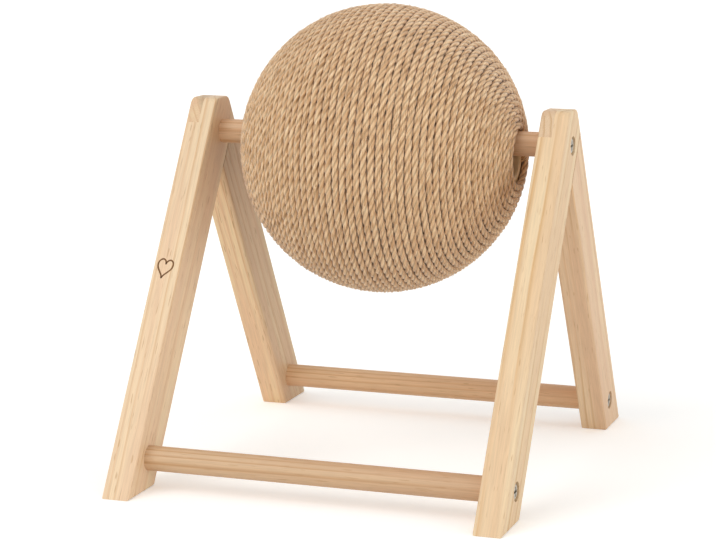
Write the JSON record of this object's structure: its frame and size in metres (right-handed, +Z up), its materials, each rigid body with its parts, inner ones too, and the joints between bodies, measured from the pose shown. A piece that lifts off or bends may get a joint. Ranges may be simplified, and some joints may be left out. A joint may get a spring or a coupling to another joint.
{
  "type": "cat scratching ball",
  "caption": "Pine A-frame stand with round rails and a cord-wound ball that spins on the axle between the frames, for a cat to scratch and bat.",
  "frame": {"origin": "on the floor, midway between the four feet", "axes": "+X along the axle from the left frame to the right one, +Y from front to back, +Z up"},
  "size_m": [0.2056, 0.256, 0.24],
  "materials": {
    "pine_bar": "planed and sanded, unvarnished",
    "pine_dowel": "turned, unvarnished",
    "screw_steel": "zinc plated",
    "core_plastic": "moulded, matt",
    "sisal_cord": "twisted natural fibre"
  },
  "bodies": {
    "stand": {"front_left_leg": "pine_bar", "back_left_leg": "pine_bar", "front_right_leg": "pine_bar", "back_right_leg": "pine_bar", "axle": "pine_dowel", "front_rail": "pine_dowel", "back_rail": "pine_dowel", "left_axle_screw": "screw_steel", "right_axle_screw": "screw_steel", "front_left_rail_screw": "screw_steel", "front_right_rail_screw": "screw_steel", "back_left_rail_screw": "screw_steel", "back_right_rail_screw": "screw_steel"},
    "ball": {"left_core_shell": "core_plastic", "right_core_shell": "core_plastic", "left_cord_winding": "sisal_cord", "right_cord_winding": "sisal_cord"}
  },
  "joints": [
    {"name": "ball_spin", "type": "hinge", "parent": "stand", "child": "ball", "pos_m": [0.0024, 0, 0.1648], "axis": [1, 0, 0], "continuous": true}
  ]
}
